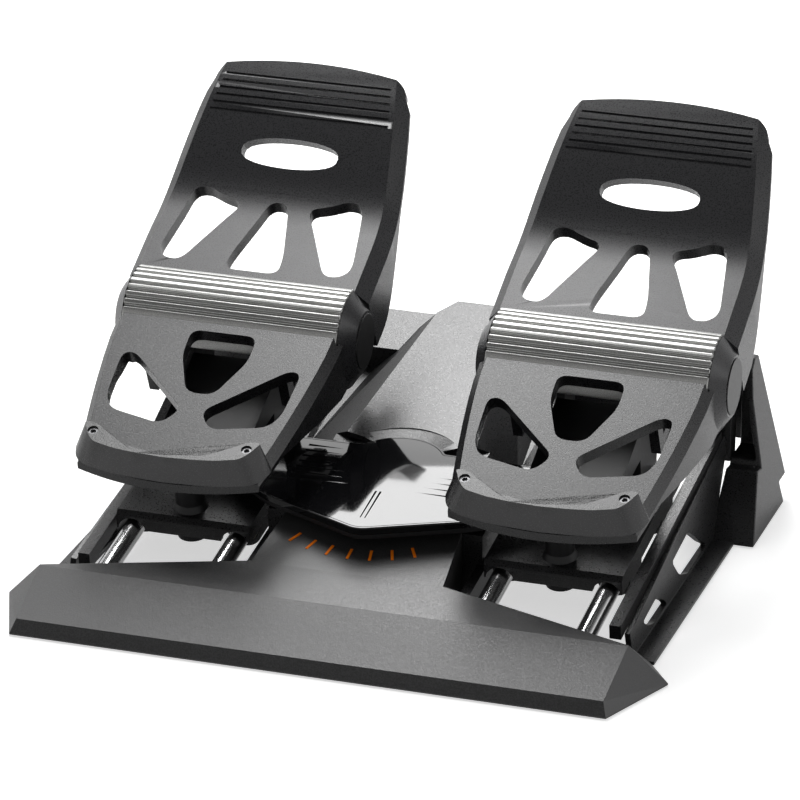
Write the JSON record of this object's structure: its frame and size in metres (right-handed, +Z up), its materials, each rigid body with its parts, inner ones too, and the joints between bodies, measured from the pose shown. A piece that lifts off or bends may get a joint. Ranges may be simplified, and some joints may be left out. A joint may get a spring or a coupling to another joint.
{
  "type": "flight simulator rudder pedals",
  "caption": "Flight simulator rudder pedals: sliding heel-and-toe pedals on steel rails, linked by a pivoting rocker, each with a spring-return toe brake",
  "frame": {"origin": "centre of the underside of the box around the whole object, on the floor", "axes": "+X across the pedals to the right of the user, +Y away from the user, +Z up"},
  "size_m": [0.4, 0.363, 0.239],
  "materials": {
    "body_plastic": "fine grained moulded plastic",
    "pedal_plastic": "fine grained moulded plastic",
    "cover_plastic": "plain dark plastic",
    "gloss_black": "polished",
    "rail_steel": "ground and polished steel",
    "black_steel": "black oxide",
    "spring_steel": "drawn wire",
    "band_metal": "satin metal-grey ribs",
    "cap_plastic": "satin",
    "scale_orange": "printed marks",
    "rubber": "moulded",
    "bronze": "sintered",
    "sensor_plastic": "moulded",
    "board": "solder mask",
    "bush_plastic": "machined"
  },
  "bodies": {
    "base": {"front_base": "body_plastic", "scale_marks": "scale_orange", "chassis_tub": "body_plastic", "bottom_cover": "cover_plastic", "rear_beam": "body_plastic", "centre_housing": "body_plastic", "rail_left_outer": "rail_steel", "rail_left_inner": "rail_steel", "rail_right_inner": "rail_steel", "rail_right_outer": "rail_steel", "rubber_feet": "rubber", "base_screws": "black_steel", "shaft_bearing": "bronze", "centring_spring": "spring_steel", "turn_sensor": "sensor_plastic", "circuit_board": "board", "cable_gland": "rubber", "side_frame_left": "body_plastic", "side_frame_right": "body_plastic", "rear_foot_left": "body_plastic", "rear_foot_right": "body_plastic"},
    "rocker": {"rocker_cover": "gloss_black", "rocker_frame": "cover_plastic", "rocker_shaft": "rail_steel"},
    "pedal_left": {"carriage_left": "body_plastic", "bushings_left": "bush_plastic", "pedal_post_left": "cover_plastic", "post_nut_left": "black_steel", "link_pin_left": "rail_steel", "rear_yoke_left": "black_steel", "heel_tray_left": "pedal_plastic", "heel_stop_left": "pedal_plastic", "heel_screws_left": "black_steel", "axle_left": "rail_steel", "brake_spring_left": "spring_steel", "brake_sensor_left": "sensor_plastic"},
    "pedal_right": {"carriage_right": "body_plastic", "bushings_right": "bush_plastic", "pedal_post_right": "cover_plastic", "post_nut_right": "black_steel", "link_pin_right": "rail_steel", "rear_yoke_right": "black_steel", "heel_tray_right": "pedal_plastic", "heel_stop_right": "pedal_plastic", "heel_screws_right": "black_steel", "axle_right": "rail_steel", "brake_spring_right": "spring_steel", "brake_sensor_right": "sensor_plastic"},
    "toe_left": {"toe_plate_left": "pedal_plastic", "hinge_band_left": "band_metal", "axle_caps_left": "cap_plastic"},
    "toe_right": {"toe_plate_right": "pedal_plastic", "hinge_band_right": "band_metal", "axle_caps_right": "cap_plastic"}
  },
  "joints": [
    {"name": "slide_right", "type": "slide", "parent": "base", "child": "pedal_right", "axis": [0, 0.989, 0.1478], "range_m": [-0.034, 0.034], "stiffness_N_per_m": 400},
    {"name": "slide_left", "type": "slide", "parent": "base", "child": "pedal_left", "axis": [0, 0.989, 0.1478], "range_m": [-0.034, 0.034], "stiffness_N_per_m": 400},
    {"name": "rocker_turn", "type": "hinge", "parent": "base", "child": "rocker", "pos_m": [0, -0.0046, 0.03194], "axis": [0, -0.1478, 0.989], "range_deg": [-16.7, 16.7], "stiffness_Nm_per_rad": 0.5},
    {"name": "toe_brake_left", "type": "hinge", "parent": "pedal_left", "child": "toe_left", "pos_m": [-0.11375, 0.0439, 0.11472], "axis": [-1, 0, 0], "range_deg": [0, 18], "stiffness_Nm_per_rad": 2, "springref_deg": -28.65},
    {"name": "toe_brake_right", "type": "hinge", "parent": "pedal_right", "child": "toe_right", "pos_m": [0.11375, 0.0439, 0.11472], "axis": [-1, 0, 0], "range_deg": [0, 18], "stiffness_Nm_per_rad": 2, "springref_deg": -28.65}
  ],
  "couplings": [
    {"joint": "slide_left", "follows": "slide_right", "ratio": -1},
    {"joint": "rocker_turn", "follows": "slide_right", "rad_per_m": 8.5424}
  ]
}
